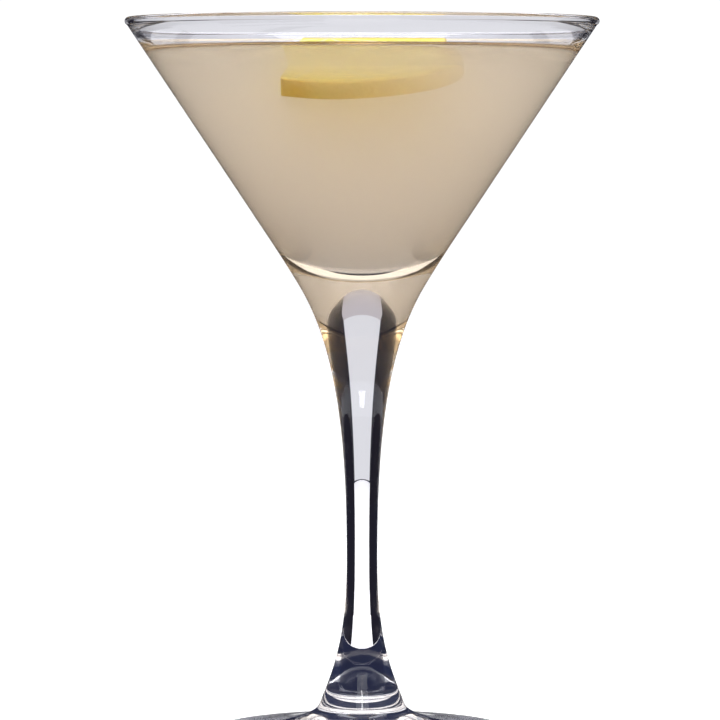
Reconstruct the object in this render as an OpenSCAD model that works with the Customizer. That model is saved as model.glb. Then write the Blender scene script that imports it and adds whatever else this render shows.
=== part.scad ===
// A filled martini glass: a one-piece stemmed glass, the cloudy drink in its
// bowl and a piece of a lemon slice that floats in the drink.
// Millimetres, +Z up. The origin is the centre of the foot's resting plane.

/* [Glass] */
// Height of the whole glass, from the table to the top of the rim
glass_h = 177; // [165:1:215]
// Outer diameter of the rim
rim_d = 116; // [96:1:140]
// Diameter of the fire-polished bead that runs round the rim
bead_d = 2; // [1.6:0.1:3]
// Thickness of the bowl's wall just under the bead
wall_t = 1.5; // [1.1:0.1:2]

/* [Bowl] */
// Depth of the bowl inside, from the rim down to its lowest point
bowl_depth = 60.9; // [50:0.1:74]
// Radius of the rounded bottom inside the bowl
floor_r = 20; // [15:0.5:23]
// Outer diameter at the neck, where the bowl meets the stem
neck_d = 30.4; // [28:0.1:36]
// Solid glass between the bowl's lowest point and the neck
neck_drop = 5.1; // [3.5:0.1:7]
// Slope of the glass at the neck, measured from upright
neck_slope = 30.5; // [28:0.5:34]
// Outer diameter at the shoulder, where the cone of the bowl starts
shoulder_d = 46.9; // [44:0.1:50]
// Height of the shoulder above the neck
shoulder_rise = 13; // [10:0.5:16]

/* [Stem and foot] */
// Diameter of the stem at its thinnest
waist_d = 7.6; // [6:0.1:12]
// Height of the thinnest place above the table
waist_z = 45.3; // [38:0.1:60]
// Diameter of the stem's flared end, where it stands on the foot
flare_d = 21; // [17:0.1:26]
// Height of that end above the table
flare_z = 8.3; // [7:0.1:12]
// Slope of the flare there, measured from upright
flare_slope = 22; // [10:1:40]
// Diameter of the foot
foot_d = 75; // [62:1:90]
// Thickness of the foot at its rounded edge
foot_edge_t = 2; // [1.6:0.1:3]
// Width of the flat ring under the foot that the glass rests on
rest_ring_w = 5; // [3:0.5:8]
// Height of the hollow under the foot, at its middle
hollow_h = 1.6; // [0.5:0.1:2.5]

/* [Drink] */
// Distance from the top of the rim down to the drink's surface
fill_drop = 7.4; // [5:0.1:20]

/* [Lemon slice] */
// Diameter of the slice
slice_d = 57; // [46:1:60]
// Thickness of the slice
slice_t = 4.5; // [3:0.1:6]
// Tilt of the slice, with its rind sunk at the front
slice_tilt = 20; // [5:1:25]
// Height of its straight side above the drink's surface
slice_proud = 2; // [0.5:0.1:2.5]
// Direction in which the slice lies from the axis of the glass, off the front
slice_side = -31; // [-60:1:0]
// Place along the straight side where one end of the half slice is cut away
trim_x = -6; // [-16:0.1:0]
// Angle of that cut
trim_angle = 10; // [0:1:20]
// Clearance between the slice's lower corner and the inside of the bowl
slice_gap = 1.3; // [0.6:0.1:4]
// Bulge of the rind across the slice's edge
rind_bulge = 0.4; // [0.1:0.1:0.8]

/* [Hidden] */

// Steps along each curve and arc of the glass
curve_steps = 20;
arc_steps = 14;

// Pull of the curves at their ends: from the shoulder, up and down from the
// neck and the waist, up the flare, and from the flare and the edge over the foot
shoulder_pull = 5;
neck_pull_up = 5;
neck_pull_down = 16;
waist_pull_up = 32;
waist_pull_down = 20;
flare_pull = 11;
heel_pull = 3.2;
foot_pull = 17;
foot_fall = 5;

bead_r = bead_d / 2;
edge_r = foot_edge_t / 2;
rim_z = glass_h - bead_r;
rim_r = rim_d / 2;
neck_z = glass_h - bowl_depth - neck_drop;
floor_z = glass_h - bowl_depth;
level_z = glass_h - fill_drop;
hollow_r = foot_d / 2 - edge_r - rest_ring_w;

// Half-angle of the outer cone, from the bead down to the shoulder
shoulder_z = neck_z + shoulder_rise;
cone_angle = atan2(rim_r - shoulder_d / 2, rim_z - shoulder_z);
// Inner radius at the height of the bead's middle
bowl_r = rim_r - wall_t / cos(cone_angle);
// Half-angle of the inner cone, which touches the rounded bottom
ball_z = floor_z + floor_r;
bowl_angle = acos(floor_r / norm([bowl_r, rim_z - ball_z]))
           - atan2(rim_z - ball_z, bowl_r);

function bezier(a, b, c, d, steps, first = 0) = [
    for (i = [first : steps])
        let (t = i / steps, s = 1 - t)
        s * s * s * a + 3 * s * s * t * b + 3 * s * t * t * c + t * t * t * d
];

function reversed(list) = [for (i = [len(list) - 1 : -1 : 0]) list[i]];

function inner_r(z) = bowl_r - (rim_z - z) * tan(bowl_angle);

// Rounded bottom of the bowl, from the axis out to where the cone touches it
function floor_arc() = [
    for (i = [0 : arc_steps])
        let (a = i / arc_steps * (90 - bowl_angle))
        [floor_r * sin(a), ball_z - floor_r * cos(a)]
];

function hollow_arc() = [
    for (i = [0 : arc_steps])
        let (r = hollow_r * i / arc_steps)
        [r, hollow_h * (1 - pow(r / hollow_r, 2))]
];

function foot_edge() = [
    for (i = [0 : arc_steps])
        let (a = -90 + 180 * i / arc_steps)
        [foot_d / 2 - edge_r + edge_r * cos(a), edge_r + edge_r * sin(a)]
];

flare_dir = [-sin(flare_slope), cos(flare_slope)];
neck_dir = [sin(neck_slope), cos(neck_slope)];
cone_dir = [sin(cone_angle), cos(cone_angle)];
flare_end = [flare_d / 2, flare_z];
waist = [waist_d / 2, waist_z];
neck = [neck_d / 2, neck_z];
shoulder = [shoulder_d / 2, shoulder_z];
foot_top_end = [foot_d / 2 - edge_r, foot_edge_t];

function foot_top() = bezier(
    foot_top_end,
    foot_top_end + foot_pull * [-cos(foot_fall), sin(foot_fall)],
    flare_end - heel_pull * flare_dir,
    flare_end,
    curve_steps, 1
);

function flare() = bezier(
    flare_end,
    flare_end + flare_pull * flare_dir,
    waist - [0, waist_pull_down],
    waist,
    curve_steps, 1
);

function stem() = bezier(
    waist,
    waist + [0, waist_pull_up],
    neck - neck_pull_down * neck_dir,
    neck,
    curve_steps, 1
);

function bowl_foot() = bezier(
    neck,
    neck + neck_pull_up * neck_dir,
    shoulder - shoulder_pull * cone_dir,
    shoulder,
    arc_steps, 1
);

module bowl_inside(top_z) {
    rotate_extrude()
        polygon(concat(floor_arc(), [[inner_r(top_z), top_z], [0, top_z]]));
}

// One section for bowl, stem and foot, and a round bead on the rim
module glass() {
    color([0.86, 0.88, 0.93, 0.4]) {
        rotate_extrude()
            polygon(concat(
                hollow_arc(), foot_edge(), foot_top(), flare(), stem(), bowl_foot(),
                [[rim_r, rim_z], [bowl_r, rim_z]],
                reversed(floor_arc())
            ));
        rotate_extrude()
            translate([rim_r - bead_r, rim_z])
                circle(r = bead_r, $fn = 48);
    }
}

// The drink fills the bowl up to its level, cut round the slice
module drink() {
    color([0.84, 0.78, 0.63])
        difference() {
            bowl_inside(level_z);
            floating_slice();
        }
}

slice_r = slice_d / 2;

// Where the end cut meets the rind, on the slice's own plane
trim_run = tan(trim_angle);
trim_fold = trim_x * trim_run;
trim_corner_y = -(trim_fold + sqrt(
    pow(trim_fold, 2) + (1 + pow(trim_run, 2)) * (pow(slice_r, 2) - pow(trim_x, 2))
)) / (1 + pow(trim_run, 2));
trim_corner_x = trim_x + trim_corner_y * trim_run;

// The same corner on the slice's lower face, once it is tilted
corner = [
    trim_corner_x,
    trim_corner_y * cos(slice_tilt) + slice_t * sin(slice_tilt),
    trim_corner_y * sin(slice_tilt) - slice_t * cos(slice_tilt)
];

// The slice slides out from the axis until that corner is slice_gap from the bowl
slice_z = level_z + slice_proud;
corner_r = inner_r(slice_z + corner[2]) - slice_gap;
slide_dir = [sin(slice_side), -cos(slice_side)];
corner_along = slide_dir[0] * corner[0] + slide_dir[1] * corner[1];
corner_across = slide_dir[0] * corner[1] - slide_dir[1] * corner[0];
slide = sqrt(pow(corner_r, 2) - pow(corner_across, 2)) - corner_along;

// Margin by which the cutting prism passes the wheel
prism_past = 2;

// A whole wheel of lemon, with its upper face at the origin
module wheel() {
    rotate_extrude()
        polygon(concat(
            [[0, 0], [0, -slice_t]],
            [
                for (i = [0 : arc_steps])
                    let (z = i / arc_steps - 1, mid = 2 * z + 1)
                    [slice_r - rind_bulge * mid * mid, slice_t * z]
            ]
        ));
}

// What one end cut leaves of the front half of the wheel
module cut_slice() {
    far = slice_r + prism_past;
    intersection() {
        wheel();
        translate([0, 0, -slice_t - prism_past])
            linear_extrude(slice_t + 2 * prism_past)
                polygon([
                    [trim_x, 0],
                    [trim_x - far * trim_run, -far],
                    [far, -far],
                    [far, 0]
                ]);
    }
}

module floating_slice() {
    translate([slide * slide_dir[0], slide * slide_dir[1], slice_z])
        rotate([slice_tilt, 0, 0])
            cut_slice();
}

module lemon_slice() {
    color([0.95, 0.80, 0.30])
        floating_slice();
}

glass();
drink();
lemon_slice();
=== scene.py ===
import bpy
import bmesh
import math
import mathutils.noise as noise
from mathutils import Matrix, Vector


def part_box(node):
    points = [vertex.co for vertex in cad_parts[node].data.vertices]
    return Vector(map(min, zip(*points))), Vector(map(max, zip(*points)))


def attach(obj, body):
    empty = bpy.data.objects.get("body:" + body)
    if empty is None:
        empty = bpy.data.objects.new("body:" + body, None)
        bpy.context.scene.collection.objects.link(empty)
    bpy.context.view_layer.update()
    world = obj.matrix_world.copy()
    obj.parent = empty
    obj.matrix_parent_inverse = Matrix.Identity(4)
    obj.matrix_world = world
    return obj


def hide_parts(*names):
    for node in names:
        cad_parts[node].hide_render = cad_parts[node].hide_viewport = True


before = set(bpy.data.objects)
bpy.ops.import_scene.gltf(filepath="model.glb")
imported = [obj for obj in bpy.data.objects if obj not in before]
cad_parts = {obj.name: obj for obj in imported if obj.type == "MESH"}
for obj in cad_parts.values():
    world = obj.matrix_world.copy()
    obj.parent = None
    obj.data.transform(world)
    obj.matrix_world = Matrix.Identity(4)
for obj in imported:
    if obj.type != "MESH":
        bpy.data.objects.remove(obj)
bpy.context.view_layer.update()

mm = 0.001
glassIor = 1.5
drinkIor = 1.34
glassLow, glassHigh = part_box("glass")
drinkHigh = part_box("drink")[1]
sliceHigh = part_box("lemon_slice")[1]


def srgb(hexText, alpha=1.0):
    # an sRGB hex colour as the linear values that shaders take
    def lin(v):
        return v / 12.92 if v <= 0.04045 else ((v + 0.055) / 1.055) ** 2.4
    parts = [int(hexText[i:i + 2], 16) / 255 for i in (0, 2, 4)]
    return (*[lin(p) for p in parts], alpha)


def addNode(tree, kind, links={}, values={}, **settings):
    # one node: links and constants go in by the input's name or number
    node = tree.nodes.new(kind)
    for key, value in settings.items():
        setattr(node, key, value)
    for key, value in values.items():
        node.inputs[key].default_value = value
    for key, source in links.items():
        tree.links.new(source, node.inputs[key])
    return node


def newMaterial(name):
    material = bpy.data.materials.new(name)
    material.use_nodes = True
    tree = material.node_tree
    return material, tree, tree.nodes["Principled BSDF"], tree.nodes["Material Output"]


def bezierPoints(a, b, c, d, steps):
    # the points of one curve, without its first
    a, b, c, d = [Vector(p) for p in (a, b, c, d)]
    points = []
    for i in range(1, steps + 1):
        t = i / steps
        s = 1 - t
        points.append(s * s * s * a + 3 * s * s * t * b + 3 * s * t * t * c + t * t * t * d)
    return points


def arcPoints(centre, radius, start, end, steps):
    centre = Vector(centre)
    angles = [start + (end - start) * i / steps for i in range(steps + 1)]
    return [centre + radius * Vector((math.cos(a), math.sin(a))) for a in angles]


def straightPoints(a, b, steps):
    # along a straight stretch, without its first and last point
    a, b = Vector(a), Vector(b)
    return [a.lerp(b, i / steps) for i in range(1, steps)]


def makePiece(name, bm, material, smooth=True):
    for face in bm.faces:
        face.smooth = smooth
    mesh = bpy.data.meshes.new(name)
    bm.to_mesh(mesh)
    bm.free()
    mesh.materials.append(material)
    piece = bpy.data.objects.new(name, mesh)
    bpy.context.scene.collection.objects.link(piece)
    return piece


def spinProfile(profile, turns):
    # profile: (radius, height) in mm from the axis round to the axis
    bm = bmesh.new()
    verts = [bm.verts.new((p[0] * mm, 0, p[1] * mm)) for p in profile]
    edges = [bm.edges.new(pair) for pair in zip(verts, verts[1:])]
    bmesh.ops.spin(bm, geom=verts + edges, axis=(0, 0, 1), cent=(0, 0, 0),
                   angle=2 * math.pi, steps=turns, use_merge=True)
    bmesh.ops.remove_doubles(bm, verts=bm.verts, dist=0.002 * mm)
    bmesh.ops.recalc_face_normals(bm, faces=bm.faces)
    return bm


# the glass
glassShape = {
    "height": glassHigh.z / mm,
    "rimRadius": min(glassHigh.x, glassHigh.y, -glassLow.x, -glassLow.y) / mm,
    "bead": 1.0,            # radius of the fire-polished bead on the rim
    "wall": 1.5,
    "bowlDepth": 60.9,
    "floorRadius": 20.0,    # rounded bottom inside the bowl
    "neckRadius": 15.2,
    "neckDrop": 5.1,
    "neckSlope": math.radians(30.5),
    "shoulderRadius": 23.45,
    "shoulderRise": 13.0,
    "waistRadius": 3.8,
    "waistHeight": 45.3,
    "flareRadius": 10.5,
    "flareHeight": 8.3,
    "flareSlope": math.radians(22),
    "footRadius": 37.5,
    "edge": 1.0,            # radius of the foot's rounded edge
    "restRing": 5.0,
    "hollow": 1.6,          # height of the shallow hollow under the foot
    "footFall": math.radians(5),
    "turns": 192,
}


def bowlLines(g):
    # heights of rim, neck and shoulder, slope of the outer cone, and the inner cone's radius at the
    # bead, height of the rounded bottom's centre and slope
    rimZ = g["height"] - g["bead"]
    neckZ = g["height"] - g["bowlDepth"] - g["neckDrop"]
    shoulderZ = neckZ + g["shoulderRise"]
    outer = math.atan2(g["rimRadius"] - g["shoulderRadius"], rimZ - shoulderZ)
    bowlRadius = g["rimRadius"] - g["wall"] / math.cos(outer)
    ballZ = g["height"] - g["bowlDepth"] + g["floorRadius"]
    rise = rimZ - ballZ
    inner = math.acos(g["floorRadius"] / math.hypot(bowlRadius, rise)) - math.atan2(rise, bowlRadius)
    return rimZ, neckZ, shoulderZ, outer, bowlRadius, ballZ, inner


def glassProfile(g, d):
    rimZ, neckZ, shoulderZ, outer, bowlRadius, ballZ, inner = bowlLines(g)
    hollowRadius = g["footRadius"] - g["edge"] - g["restRing"]
    footTop = Vector((g["footRadius"] - g["edge"], 2 * g["edge"]))
    flareDir = Vector((-math.sin(g["flareSlope"]), math.cos(g["flareSlope"])))
    flare = Vector((g["flareRadius"], g["flareHeight"]))
    waist = Vector((g["waistRadius"], g["waistHeight"]))
    neck = Vector((g["neckRadius"], neckZ))
    neckDir = Vector((math.sin(g["neckSlope"]), math.cos(g["neckSlope"])))
    shoulder = Vector((g["shoulderRadius"], shoulderZ))
    coneDir = Vector((math.sin(outer), math.cos(outer)))
    footDir = Vector((-math.cos(g["footFall"]), math.sin(g["footFall"])))
    steps = 16

    profile = [Vector((hollowRadius * i / steps, g["hollow"] * (1 - (i / steps) ** 2)))
               for i in range(steps + 1)]
    profile += arcPoints((footTop.x, g["edge"]), g["edge"], -math.pi / 2, math.pi / 2, 14)
    profile += bezierPoints(footTop, footTop + 17 * footDir, flare - 3.2 * flareDir, flare, 36)
    profile += bezierPoints(flare, flare + 11 * flareDir, waist - Vector((0, 20)), waist, 36)
    profile += bezierPoints(waist, waist + Vector((0, 32)), neck - 16 * neckDir, neck, 48)
    profile += bezierPoints(neck, neck + 5 * neckDir, shoulder - 5 * coneDir, shoulder, 16)
    # the bead's arc starts where it leaves the outer cone and ends on the inner one
    beadCentre = (g["rimRadius"] - g["bead"], rimZ)
    beadArc = arcPoints(beadCentre, g["bead"], math.radians(-66), math.radians(192), 22)
    profile += straightPoints(shoulder, beadArc[0], 10)
    profile += beadArc
    ball = arcPoints((0, ballZ), g["floorRadius"], -inner, -math.pi / 2, 20)
    contactZ = d["level"] + d["climb"]
    contact = Vector((bowlRadius - (rimZ - contactZ) * math.tan(inner), contactZ))
    profile += straightPoints(beadArc[-1], contact, 3) + [contact]
    profile += straightPoints(contact, ball[0], 10)
    profile += ball
    return profile


def stepAtContact(tree, shader, free, touching):
    # the bend of light on free faces, and the smaller one left where drink and glass touch
    contact = addNode(tree, "ShaderNodeAttribute", attribute_name="touching")
    step = addNode(tree, "ShaderNodeMath", {0: contact.outputs["Fac"]}, {1: touching - free, 2: free},
                   operation="MULTIPLY_ADD")
    shader.inputs["IOR"].default_value = free
    tree.links.new(step.outputs[0], shader.inputs["IOR"])


def markTouching(piece, touches):
    values = [1.0 if touches(face) else 0.0 for face in piece.data.polygons]
    mark = piece.data.attributes.new("touching", "FLOAT", "FACE")
    mark.data.foreach_set("value", values)


def clearGlass():
    # soda-lime glass, fire-polished: no grain, all its look is refraction and edge darkening
    material, tree, shader, out = newMaterial("clearGlass")
    shader.inputs["Base Color"].default_value = srgb("fbfbff")
    shader.inputs["Roughness"].default_value = 0.0
    stepAtContact(tree, shader, glassIor, glassIor / drinkIor)
    shader.inputs["Transmission Weight"].default_value = 1.0
    tint = addNode(tree, "ShaderNodeVolumeAbsorption", values={"Color": srgb("e4e6f2"), "Density": 4.0})
    tree.links.new(tint.outputs[0], out.inputs["Volume"])
    return material


def isWet(face, g, d):
    # the inside of the bowl below the drink's edge, where glass meets drink and not air
    rimZ, _, _, _, bowlRadius, ballZ, inner = bowlLines(g)
    near = 0.05
    z = face.center.z / mm
    r = math.hypot(face.center.x, face.center.y) / mm
    if z < ballZ - g["floorRadius"] * math.sin(inner):
        return math.hypot(r, z - ballZ) < g["floorRadius"] + near and z > ballZ - g["floorRadius"] - near
    return z < d["level"] + d["climb"] and r < bowlRadius - (rimZ - z) * math.tan(inner) + near


drinkShape = {
    "level": drinkHigh.z / mm,
    "intoWall": 0.3,        # how far it reaches into the glass, so that no air shows
    "climb": 0.9,           # how far the surface climbs the wall
    "climbWidth": 0.8,
    "turns": 160,
}

glassMesh = spinProfile(glassProfile(glassShape, drinkShape), glassShape["turns"])
glassPiece = makePiece("martini_glass", glassMesh, clearGlass())
markTouching(glassPiece, lambda face: isWet(face, glassShape, drinkShape))
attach(glassPiece, "root")
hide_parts("glass")
print("glass made", len(glassPiece.data.polygons))


def drinkProfile(g, d):
    rimZ, _, _, _, bowlRadius, ballZ, inner = bowlLines(g)
    ball = arcPoints((0, ballZ), g["floorRadius"] + d["intoWall"], -math.pi / 2, -inner, 24)
    topZ = d["level"] + d["climb"]
    wallRadius = bowlRadius - (rimZ - topZ) * math.tan(inner) + d["intoWall"] / math.cos(inner)
    edge = Vector((wallRadius, topZ))
    profile = ball + straightPoints(ball[-1], edge, 10) + [edge]
    # inwards the surface falls off quickly to its level
    touch = wallRadius - d["intoWall"] / math.cos(inner)
    for step in (0, 0.15, 0.35, 0.6, 0.9, 1.3, 1.8, 2.5, 3.5, 5.0):
        height = d["level"] + d["climb"] * math.exp(-step / d["climbWidth"])
        profile.append(Vector((touch - step, height)))
    profile += [Vector((touch * share, d["level"])) for share in (0.8, 0.6, 0.4, 0.2, 0.0)]
    return profile


def cloudyDrink():
    # spirit with lemon juice: haze that veils what lies a centimetre in
    material, tree, shader, out = newMaterial("cloudyDrink")
    shader.inputs["Base Color"].default_value = srgb("f9ead0")
    shader.inputs["Roughness"].default_value = 0.0
    stepAtContact(tree, shader, drinkIor, 1.001)
    shader.inputs["Transmission Weight"].default_value = 1.0
    haze = addNode(tree, "ShaderNodeVolumeScatter",
                   values={"Color": (0.9995, 0.991, 0.958, 1), "Density": 82.0, "Anisotropy": 0.3})
    tree.links.new(haze.outputs[0], out.inputs["Volume"])
    return material


drinkMesh = spinProfile(drinkProfile(glassShape, drinkShape), drinkShape["turns"])
drinkPiece = makePiece("cloudy_drink", drinkMesh, cloudyDrink())
# its side lies inside the glass, whose wet faces do the bending
markTouching(drinkPiece, lambda face: face.normal.z < 0)
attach(drinkPiece, "root")
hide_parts("drink")
print("drink made", len(drinkPiece.data.polygons))


# half a wheel of lemon, one end trimmed
lemonShape = {
    "radius": 28.5,
    "thickness": 4.5,
    "tilt": math.radians(20),
    "trimX": -6.0,
    "trimAngle": math.radians(10),
    "cornerRound": 2.6,
    "rindRound": 0.9,       # how far in the rind's corners start to round
    "zest": 1.1,            # coloured outer layer of the peel
    "pith": 2.4,            # white layer under it
    "segments": 9,
    "turnOfSegments": math.radians(14),
    "membrane": 0.55,
    "core": 1.6,
    "relief": 0.18,         # how far the flesh bulges
    "plumpWidth": 1.4,      # from a membrane to the flesh's full height
    "poreRim": 1.2,
    "poreSize": 1.1,
    "poreDepth": 0.3,
    "warp": 0.35,
    "warpLength": 19.0,
    "rings": 50,
    "sides": 240,
}


def lemonPlace(shape):
    # the middle of the wheel's upper face, from the box of the solid it stands for
    return Vector((sliceHigh.x - shape["radius"] * mm,
                   sliceHigh.y - shape["thickness"] * mm * math.sin(shape["tilt"]),
                   sliceHigh.z))


def lemonWheel(shape):
    # a whole wheel, fine enough to carry its relief
    radius, thick = shape["radius"], shape["thickness"]
    flatRadius = radius - shape["rindRound"]
    face = [flatRadius * i / shape["rings"] for i in range(shape["rings"] + 1)]
    profile = [(r, 0) for r in face]
    steps = 8
    for i in range(steps + 1):
        # the rind: a slight bulge, its corners rounded
        a = math.pi / 2 - math.pi * i / steps
        bulge = shape["rindRound"] * math.cos(a) ** 0.6 if math.cos(a) > 0 else 0.0
        profile.append((flatRadius + bulge, -thick / 2 + thick / 2 * math.sin(a)))
    profile += [(r, -thick) for r in reversed(face)]
    return spinProfile([Vector(p) for p in profile], shape["sides"])


def cutAway(bm, at, normal):
    # cuts along a plane, drops what lies on its normal's side and closes the cut
    whole = bm.verts[:] + bm.edges[:] + bm.faces[:]
    bmesh.ops.bisect_plane(bm, geom=whole, dist=0.001 * mm, plane_co=at, plane_no=normal, clear_outer=True)
    rim = [e for e in bm.edges if e.is_boundary]
    bmesh.ops.holes_fill(bm, edges=rim, sides=0)


def cutLemon(shape):
    bm = lemonWheel(shape)
    cutAway(bm, (0, 0, 0), (0, 1, 0))
    trim = shape["trimAngle"]
    outward = Vector((-math.cos(trim), math.sin(trim), 0))
    start = Vector((shape["trimX"] * mm, 0, 0))
    cutAway(bm, start, outward)
    # the lower corner is rounded by a few cuts along a small arc
    small, reach = shape["cornerRound"] * mm, (shape["radius"] - shape["cornerRound"]) * mm
    inner = start - outward * small
    along = Vector((-math.sin(trim), -math.cos(trim), 0))
    half = inner.dot(along)
    centre = inner + along * (-half + math.sqrt(half ** 2 - inner.length ** 2 + reach ** 2))
    towards = centre.normalized()
    cuts = 7
    for i in range(cuts):
        normal = outward.slerp(towards, (i + 0.5) / cuts)
        cutAway(bm, centre + normal * small, normal)
    return bm


def lemonRelief(bm, shape):
    # flesh bulges between the membranes, the peel is pored, the whole slice is a little bent
    radius, thick = shape["radius"] * mm, shape["thickness"] * mm
    fleshEdge = radius - (shape["zest"] + shape["pith"]) * mm
    step = 2 * math.pi / shape["segments"]
    for vert in bm.verts:
        x, y, z = vert.co
        r = math.hypot(x, y)
        side = (z + thick / 2) / (thick / 2)
        angle = math.atan2(y, x) - shape["turnOfSegments"]
        across = abs((angle / step) % 1 - 0.5) * step * r / mm
        fromMembrane = step * r / mm / 2 - across
        lift = 0.0
        if r < fleshEdge and abs(side) > 0.9:
            plump = min(1, fromMembrane / shape["plumpWidth"]) * min(1, (fleshEdge - r) / (1.2 * mm))
            grain = noise.noise(Vector((r / mm * 0.45, angle * r / mm * 1.1, side * 3)))
            lift = shape["relief"] * (plump - 0.6 + 0.9 * grain * plump)
        if r > radius - shape["poreRim"] * mm:
            pore = noise.noise(Vector((x, y, z)) / (shape["poreSize"] * mm))
            vert.co.x -= x / r * max(0, pore) * shape["poreDepth"] * mm
            vert.co.y -= y / r * max(0, pore) * shape["poreDepth"] * mm
        bend = noise.noise(Vector((x, y, 0)) / (shape["warpLength"] * mm) + Vector((3.1, 0.7, 0)))
        vert.co.z += (math.copysign(lift, side) + shape["warp"] * bend - shape["warp"] * 0.3) * mm


def freshLemon(shape):
    # lemon, cut across: waxy pored zest, dull white pith, wet flesh in segments with paler walls
    material, tree, shader, _ = newMaterial("freshLemon")
    place = addNode(tree, "ShaderNodeTexCoord")
    flat = addNode(tree, "ShaderNodeMapping", {"Vector": place.outputs["Object"]},
                   {"Location": lemonPlace(shape), "Rotation": (shape["tilt"], 0, 0)}, vector_type="TEXTURE")
    parts = addNode(tree, "ShaderNodeSeparateXYZ", {0: flat.outputs[0]})
    plane = addNode(tree, "ShaderNodeCombineXYZ", {0: parts.outputs[0], 1: parts.outputs[1]})
    length = addNode(tree, "ShaderNodeVectorMath", {0: plane.outputs[0]}, operation="LENGTH")
    wobble = addNode(tree, "ShaderNodeTexNoise", {"Vector": flat.outputs[0]},
                     {"Scale": 1 / (6 * mm), "Detail": 2.0})
    uneven = addNode(tree, "ShaderNodeMath", {0: wobble.outputs[0]}, {1: 0.5}, operation="SUBTRACT")
    radius = addNode(tree, "ShaderNodeMath", {0: uneven.outputs[0], 2: length.outputs["Value"]},
                     {1: 1.4 * mm}, operation="MULTIPLY_ADD")
    # angle round the wheel, counted in segments
    angle = addNode(tree, "ShaderNodeMath", {0: parts.outputs[1], 1: parts.outputs[0]}, operation="ARCTAN2")
    count = shape["segments"] / (2 * math.pi)
    turns = addNode(tree, "ShaderNodeMath", {0: angle.outputs[0]},
                    {1: count, 2: -shape["turnOfSegments"] * count}, operation="MULTIPLY_ADD")
    shaken = addNode(tree, "ShaderNodeMath", {0: uneven.outputs[0], 2: turns.outputs[0]}, {1: 0.12},
                     operation="MULTIPLY_ADD")
    fraction = addNode(tree, "ShaderNodeMath", {0: shaken.outputs[0]}, operation="FRACT")
    centred = addNode(tree, "ShaderNodeMath", {0: fraction.outputs[0]}, {1: 0.5}, operation="SUBTRACT")
    spread = addNode(tree, "ShaderNodeMath", {0: centred.outputs[0]}, operation="ABSOLUTE")
    gap = addNode(tree, "ShaderNodeMath", {1: spread.outputs[0]}, {0: 0.5}, operation="SUBTRACT")
    walls = addNode(tree, "ShaderNodeMath", {0: gap.outputs[0], 1: radius.outputs[0]}, operation="MULTIPLY")
    membrane = addNode(tree, "ShaderNodeMapRange", {"Value": walls.outputs[0]},
                       {"From Min": shape["membrane"] * mm * count * 0.35,
                        "From Max": shape["membrane"] * mm * count * 1.2, "To Min": 1.0, "To Max": 0.0})
    core = addNode(tree, "ShaderNodeMapRange", {"Value": radius.outputs[0]},
                   {"From Min": shape["core"] * mm * 0.6, "From Max": shape["core"] * mm * 1.5,
                    "To Min": 1.0, "To Max": 0.0})
    pale = addNode(tree, "ShaderNodeMath", {0: membrane.outputs[0], 1: core.outputs[0]}, operation="MAXIMUM")
    # juice sacs: noise drawn out along the radius
    rays = addNode(tree, "ShaderNodeCombineXYZ",
                   {0: radius.outputs[0], 1: turns.outputs[0], 2: parts.outputs[2]})
    sacs = addNode(tree, "ShaderNodeVectorMath", {0: rays.outputs[0]},
                   {1: (1 / (3.4 * mm), 9.0, 1 / (2 * mm))}, operation="MULTIPLY")
    grain = addNode(tree, "ShaderNodeTexNoise", {"Vector": sacs.outputs[0]}, {"Scale": 1.0, "Detail": 3.0})
    flesh = addNode(tree, "ShaderNodeMix", {0: grain.outputs[0]},
                    {6: srgb("ffe838"), 7: srgb("fff48c")}, data_type="RGBA")
    walled = addNode(tree, "ShaderNodeMix", {0: pale.outputs[0], 6: flesh.outputs[2]},
                     {7: srgb("fff4b0")}, data_type="RGBA")
    pithIn = (shape["radius"] - shape["zest"] - shape["pith"]) * mm
    pithMask = addNode(tree, "ShaderNodeMapRange", {"Value": radius.outputs[0]},
                       {"From Min": pithIn - 0.3 * mm, "From Max": pithIn + 0.3 * mm})
    withPith = addNode(tree, "ShaderNodeMix", {0: pithMask.outputs[0], 6: walled.outputs[2]},
                       {7: srgb("fdea70")}, data_type="RGBA")
    zestIn = (shape["radius"] - shape["zest"]) * mm
    zestMask = addNode(tree, "ShaderNodeMapRange", {"Value": length.outputs["Value"]},
                       {"From Min": zestIn - 0.25 * mm, "From Max": zestIn + 0.25 * mm})
    blotch = addNode(tree, "ShaderNodeTexNoise", {"Vector": flat.outputs[0]},
                     {"Scale": 1 / (4 * mm), "Detail": 3.0})
    # more orange towards the trimmed end
    towardsTrim = addNode(tree, "ShaderNodeMapRange", {"Value": parts.outputs[0]},
                   {"From Min": -8 * mm, "From Max": -1 * mm}, interpolation_type="SMOOTHSTEP")
    zestTowardsTrim = addNode(tree, "ShaderNodeMix", {0: towardsTrim.outputs[0]},
                       {6: srgb("ffcc20"), 7: srgb("ffe484")}, data_type="RGBA")
    zest = addNode(tree, "ShaderNodeMix", {0: blotch.outputs[0], 6: zestTowardsTrim.outputs[2]},
                   {7: srgb("ffe474")}, data_type="RGBA")
    peeled = addNode(tree, "ShaderNodeMix",
                     {0: zestMask.outputs[0], 6: withPith.outputs[2], 7: zest.outputs[2]}, data_type="RGBA")
    # the cut edge that stands out of the drink is painted darker brown: painted shade that dims the top
    # lamp's light on it
    paintedEdgeShade = addNode(tree, "ShaderNodeMapRange", {"Value": parts.outputs[1]},
                  {"From Min": -1.6 * mm, "From Max": -0.2 * mm, "To Max": 0.7})
    whole = addNode(tree, "ShaderNodeMix", {0: paintedEdgeShade.outputs[0], 6: peeled.outputs[2]},
                    {7: srgb("b98a3a")}, data_type="RGBA")
    tree.links.new(whole.outputs[2], shader.inputs["Base Color"])
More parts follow.
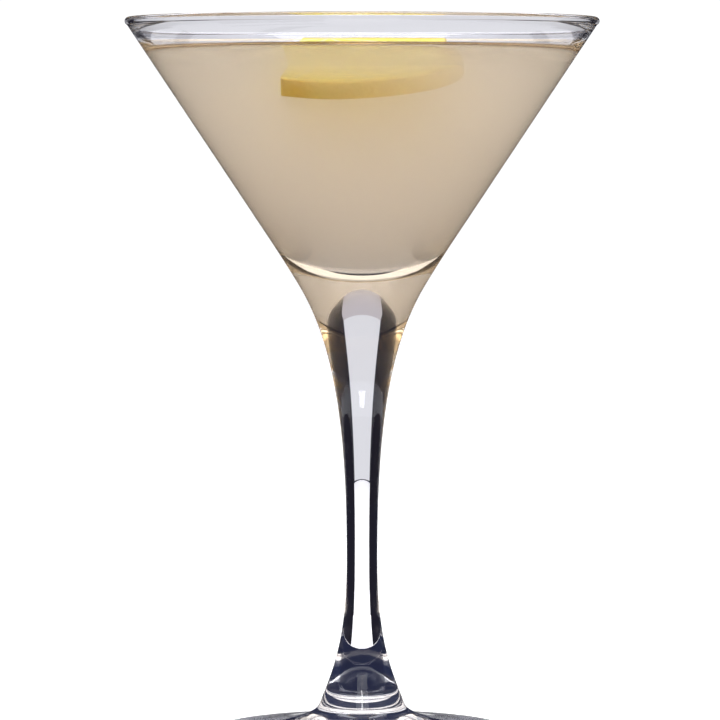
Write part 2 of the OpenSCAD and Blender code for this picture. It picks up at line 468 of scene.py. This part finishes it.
    # oil pores of the zest, about 1 mm apart, and the fine grain of the flesh
    pores = addNode(tree, "ShaderNodeTexVoronoi", {"Vector": flat.outputs[0]}, {"Scale": 1 / (1.2 * mm)})
    dent = addNode(tree, "ShaderNodeMath", {0: pores.outputs["Distance"], 1: zestMask.outputs[0]},
                   operation="MULTIPLY")
    height = addNode(tree, "ShaderNodeMath", {0: grain.outputs[0], 1: dent.outputs[0]}, operation="ADD")
    bump = addNode(tree, "ShaderNodeBump", {"Height": height.outputs[0]},
                   {"Strength": 0.5, "Distance": 0.3 * mm})
    tree.links.new(bump.outputs[0], shader.inputs["Normal"])
    shine = addNode(tree, "ShaderNodeMapRange", {"Value": pithMask.outputs[0]},
                    {"To Min": 0.22, "To Max": 0.5})
    tree.links.new(shine.outputs[0], shader.inputs["Roughness"])
    # light soaks a few millimetres in
    shader.inputs["IOR"].default_value = 1.4
    shader.inputs["Subsurface Weight"].default_value = 0.2
    shader.inputs["Subsurface Radius"].default_value = (1.0, 0.7, 0.25)
    shader.inputs["Subsurface Scale"].default_value = 3 * mm
    return material


lemonMesh = cutLemon(lemonShape)
lemonRelief(lemonMesh, lemonShape)
bmesh.ops.recalc_face_normals(lemonMesh, faces=lemonMesh.faces)
bmesh.ops.rotate(lemonMesh, verts=lemonMesh.verts, cent=(0, 0, 0),
                 matrix=Matrix.Rotation(lemonShape["tilt"], 3, "X"))
bmesh.ops.translate(lemonMesh, verts=lemonMesh.verts, vec=lemonPlace(lemonShape))
lemonPiece = makePiece("lemon_wheel", lemonMesh, freshLemon(lemonShape))
lemonPiece.data.set_sharp_from_angle(angle=math.radians(45))
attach(lemonPiece, "root")
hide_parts("lemon_slice")


# floor, lamps and cards, in metres
studio = {
    "floorRadius": 2.5,
    "floorDrop": 0.0004,
    "floorGlow": 0.45,
    "tentRadius": 8.0,
    "tentGlow": 1.05,
    "panelDistance": 2.6,
    "panelHalfAngle": math.radians(17.5),
    "panelTop": 1.5,
    "panelStrength": 0.70,
    "frontStrength": 0.8,
    "backStrength": 0.76,
    "frontUpper": 1.7,
    # back, right, front, left
    "tints": ((1, 1, 1), (1, 0.95, 0.84), (1, 1, 1), (0.93, 0.97, 1)),
    "leanTints": ((1, 0.93, 0.93), (1, 0.93, 0.84), (1, 1, 1), (0.93, 0.96, 1)),
    "upperTop": math.radians(64),
    "upperReach": 1.1,
    "upperShare": 0.7,      # of the strength of the panel below
    "topSize": 2.0,
    "topHeight": 2.2,
    "topStrength": 4.3,
    "keySize": (0.22, 0.6),
    "keyPlace": (0, -2.0, 1.75),
    "keyAim": (0, 0, 0.1),
    "keyStrength": 9.0,
    "flagHalfAngle": math.radians(26.5),
    "flagOuter": 0.52,
    "flagLean": 0.1,
    "flagLow": 0.001,
    "flagHeight": 0.9,
    # radius and height of each
    "strips": ((0.06, 0.018), (0.13, 0.025), (0.23, 0.036)),
    "ringInner": 0.036,
    "ringOuter": 0.07,
    "ringHeight": 0.0006,
    "heelInner": 0.038,
    "heelOuter": 0.06,
    "heelHeight": -0.0002,
    "footReach": 0.12,
    "footHeight": -0.0003,
    "coreRadius": 0.016,
    "coreHeight": -0.00025,
    "hole": 0.0005,         # left open round the axis
    "sideRadius": 0.045,
    "sideHeight": 0.01,
    "sideHalfAngle": math.radians(20),
    "collarRadius": 0.06,
    "collarHeight": 0.06,
    "bounceRadius": 0.5,
    "bounceHeight": 0.0008,
    "bounceStrength": 2.2,
    "cardTurns": 3,         # up to here light counts as little turned
}


def glowMaterial(name, colour, strength):
    material, tree, shader, out = newMaterial(name)
    tree.nodes.remove(shader)
    glow = addNode(tree, "ShaderNodeEmission", values={"Color": colour, "Strength": strength})
    tree.links.new(glow.outputs[0], out.inputs["Surface"])
    return material


def makeFloor():
    # matt white table top, plain
    material, _, shader, _ = newMaterial("mattWhiteTable")
    shader.inputs["Base Color"].default_value = srgb("f4f4f4")
    shader.inputs["Roughness"].default_value = 0.9
    shader.inputs["Emission Color"].default_value = srgb("ffffff")
    shader.inputs["Emission Strength"].default_value = studio["floorGlow"]
    bm = bmesh.new()
    bmesh.ops.create_circle(bm, cap_ends=True, segments=96, radius=studio["floorRadius"])
    bmesh.ops.translate(bm, verts=bm.verts, vec=(0, 0, -studio["floorDrop"]))
    makePiece("floor", bm, material)


def makeTent():
    # white light tent all round, behind everything the camera sees; the lamps do the lighting
    bm = bmesh.new()
    bmesh.ops.create_icosphere(bm, subdivisions=3, radius=studio["tentRadius"])
    tent = makePiece("tent", bm, glowMaterial("whiteTent", (1, 1, 1, 1), studio["tentGlow"]))
    tent.visible_diffuse = tent.visible_glossy = tent.visible_transmission = False
    tent.visible_volume_scatter = tent.visible_shadow = False


def sweptCard(bm, line, azimuth, half):
    verts = [bm.verts.new((r * math.sin(azimuth - half), r * math.cos(azimuth - half), z)) for r, z in line]
    edges = [bm.edges.new(pair) for pair in zip(verts, verts[1:])]
    bmesh.ops.spin(bm, geom=verts + edges, axis=(0, 0, -1), cent=(0, 0, 0), angle=2 * half, steps=32)


def cardMaterial(name, colour, strength, crossings, turns, fade):
    # a card for light that has crossed at least so many faces and was turned so many times besides,
    # by mirroring or haze: few turns edge the glass, many turns reach the drink alone.
    # it may fade in outwards
    material, tree, shader, out = newMaterial(name)
    tree.nodes.remove(shader)
    path = addNode(tree, "ShaderNodeLightPath")
    deep = addNode(tree, "ShaderNodeMath", {0: path.outputs["Transmission Depth"]}, {1: crossings - 0.5},
                   operation="GREATER_THAN")
    turned = addNode(tree, "ShaderNodeMath", {0: path.outputs["Ray Depth"],
                                              1: path.outputs["Transmission Depth"]}, operation="SUBTRACT")
    middle, spread = (turns[0] + turns[1]) / 2, (turns[1] - turns[0]) / 2 + 0.5
    within = addNode(tree, "ShaderNodeMath", {0: turned.outputs[0]}, {1: middle, 2: spread},
                     operation="COMPARE")
    seen = addNode(tree, "ShaderNodeMath", {0: deep.outputs[0], 1: within.outputs[0]}, operation="MULTIPLY")
    place = addNode(tree, "ShaderNodeTexCoord")
    flat = addNode(tree, "ShaderNodeVectorMath", {0: place.outputs["Object"]}, {1: (1, 1, 0)},
                   operation="MULTIPLY")
    radius = addNode(tree, "ShaderNodeVectorMath", {0: flat.outputs[0]}, operation="LENGTH")
    rise = addNode(tree, "ShaderNodeMapRange", {"Value": radius.outputs["Value"]},
                   {"From Min": fade[0], "From Max": fade[1]}, interpolation_type="SMOOTHSTEP")
    amount = addNode(tree, "ShaderNodeMath", {0: seen.outputs[0], 1: rise.outputs[0]}, operation="MULTIPLY")
    clear = addNode(tree, "ShaderNodeBsdfTransparent")
    card = addNode(tree, "ShaderNodeEmission", values={"Color": srgb(colour), "Strength": strength})
    mix = addNode(tree, "ShaderNodeMixShader",
                  {0: amount.outputs[0], 1: clear.outputs[0], 2: card.outputs[0]})
    tree.links.new(mix.outputs[0], out.inputs["Surface"])
    return material


def makeCard(name, line, azimuth, half, material, refracted, mirrored):
    bm = bmesh.new()
    sweptCard(bm, line, azimuth, half)
    card = makePiece(name, bm, material)
    card.visible_camera = card.visible_diffuse = card.visible_shadow = card.visible_volume_scatter = False
    card.visible_transmission = refracted
    card.visible_glossy = mirrored


def addPanel(name, size, at, aim, radiance, colour=(1, 1, 1), mirrored=True):
    light = bpy.data.lights.new(name, "AREA")
    light.shape = "RECTANGLE"
    light.size, light.size_y = size
    # an area light's power is its radiance times pi times its area
    light.energy = radiance * math.pi * size[0] * size[1]
    light.color = colour
    lamp = bpy.data.objects.new(name, light)
    lamp.location = at
    lamp.rotation_euler = (Vector(aim) - Vector(at)).to_track_quat("-Z", "Y").to_euler()
    lamp.visible_glossy = mirrored
    bpy.context.scene.collection.objects.link(lamp)


makeFloor()
makeTent()
few, solid = (0, studio["cardTurns"]), (-1, 0)
flagCard = cardMaterial("flagCard", "201e26", 1, 0, few, solid)
wall = [(studio["flagOuter"], studio["flagLow"]),
        (studio["flagOuter"] + studio["flagLean"], studio["flagHeight"])]
for name, degrees in (("Right", 45), ("Left", -45), ("Front", -135)):
    makeCard("wall" + name, wall, math.radians(degrees), studio["flagHalfAngle"], flagCard, True, True)
    # low strips standing on the table stop flat sight lines only
    for step, (radius, height) in enumerate(studio["strips"]):
        makeCard("strip%s%d" % (name, step), [(radius, 0.0), (radius, height)], math.radians(degrees),
                 studio["flagHalfAngle"], flagCard, True, False)
# flat cards under and round the foot: the ring is only mirrored, the others only seen through glass
ringCard = cardMaterial("ringCard", "1a1c28", 1, 0, few, (studio["ringInner"], studio["ringOuter"]))
makeCard("ring", [(0.01, studio["ringHeight"]), (studio["floorRadius"], studio["ringHeight"])],
         0, math.pi, ringCard, False, True)
makeCard("heel", [(studio["heelInner"], studio["heelHeight"]), (studio["heelOuter"], studio["heelHeight"])],
         0, math.pi, cardMaterial("heelCard", "262a40", 1, 2, few, solid), True, False)
makeCard("foot", [(studio["hole"], studio["footHeight"]), (studio["footReach"], studio["footHeight"])],
         0, math.pi, cardMaterial("footCard", "262a40", 1, 3, few, solid), True, False)
makeCard("core", [(studio["hole"], studio["coreHeight"]), (studio["coreRadius"], studio["coreHeight"])],
         0, math.pi, cardMaterial("coreCard", "262a40", 1, 2, few, solid), True, False)
for name, side in (("Right", 1), ("Left", -1)):
    makeCard("side" + name, [(studio["sideRadius"], 0.0), (studio["sideRadius"], studio["sideHeight"])],
             side * math.pi / 2, studio["sideHalfAngle"], flagCard, True, False)
collarCard = cardMaterial("collarCard", "2c324c", 1, 2, (1, studio["cardTurns"]), solid)
makeCard("collar", [(studio["collarRadius"], 0.0), (studio["collarRadius"], studio["collarHeight"])],
         0, math.pi, collarCard, True, False)
# the pale one lights the drink from below
bounceCard = cardMaterial("bounceCard", "fff4e6", studio["bounceStrength"], 1,
                          (studio["cardTurns"] + 1, 99), solid)
makeCard("bounce", [(0.001, studio["bounceHeight"]), (studio["bounceRadius"], studio["bounceHeight"])],
         0, math.pi, bounceCard, True, False)

distance = studio["panelDistance"]
width = 2 * distance * math.tan(studio["panelHalfAngle"])
for quarter in range(4):
    a = quarter * math.pi / 2
    out = Vector((math.sin(a), math.cos(a), 0))
    strength = (studio["backStrength"], studio["panelStrength"], studio["frontStrength"],
                studio["panelStrength"])[quarter]
    z = studio["panelTop"] / 2
    addPanel("panel%d" % quarter, (width, studio["panelTop"]), out * distance + Vector((0, 0, z)), (0, 0, z),
             strength, studio["tints"][quarter], mirrored=False)
    # above it a second panel leans in, up to the top light
    low = out * distance + Vector((0, 0, studio["panelTop"]))
    reach = studio["upperReach"]
    high = out * reach + Vector((0, 0, reach * math.tan(studio["upperTop"])))
    middle = (low + high) / 2
    facing = (high - low).cross(Vector((0, 0, 1)).cross(out)).normalized()
    if facing.z > 0:
        facing = -facing
    lean = studio["frontUpper"] if quarter == 2 else studio["upperShare"] * strength
    addPanel("upper%d" % quarter, (width, (high - low).length), middle, middle + facing, lean,
             studio["leanTints"][quarter])
addPanel("top", (studio["topSize"], studio["topSize"]), (0, 0, studio["topHeight"]), (0, 0, 0),
         studio["topStrength"])
addPanel("key", studio["keySize"], studio["keyPlace"], studio["keyAim"], studio["keyStrength"])

world = bpy.data.worlds.new("World")
bpy.context.scene.world = world
world.use_nodes = True
world.node_tree.nodes["Background"].inputs["Color"].default_value = srgb("24263a")
world.node_tree.nodes["Background"].inputs["Strength"].default_value = 1.0

cameraPlace = {
    "distance": 1.1,
    "side": -0.0005,
    "height": glassHigh.z - 0.027,
    "aim": glassHigh.z - 0.0839,
    "acrossMm": 176.47,         # what the frame's width spans at the glass
}
camera = bpy.data.cameras.new("camera")
camera.sensor_width = 36
camera.lens = 36 * cameraPlace["distance"] / (cameraPlace["acrossMm"] * mm)
cameraObject = bpy.data.objects.new("camera", camera)
cameraObject.location = (cameraPlace["side"], -cameraPlace["distance"], cameraPlace["height"])
aim = Vector((cameraPlace["side"], 0, cameraPlace["aim"]))
cameraObject.rotation_euler = (aim - cameraObject.location).to_track_quat("-Z", "Y").to_euler()
bpy.context.scene.collection.objects.link(cameraObject)
bpy.context.scene.camera = cameraObject

scene = bpy.context.scene
scene.view_settings.view_transform = "Standard"
scene.cycles.max_bounces = 48
scene.cycles.transmission_bounces = 32
scene.cycles.glossy_bounces = 12
scene.cycles.diffuse_bounces = 6
scene.cycles.volume_bounces = 32
scene.cycles.use_denoising = True
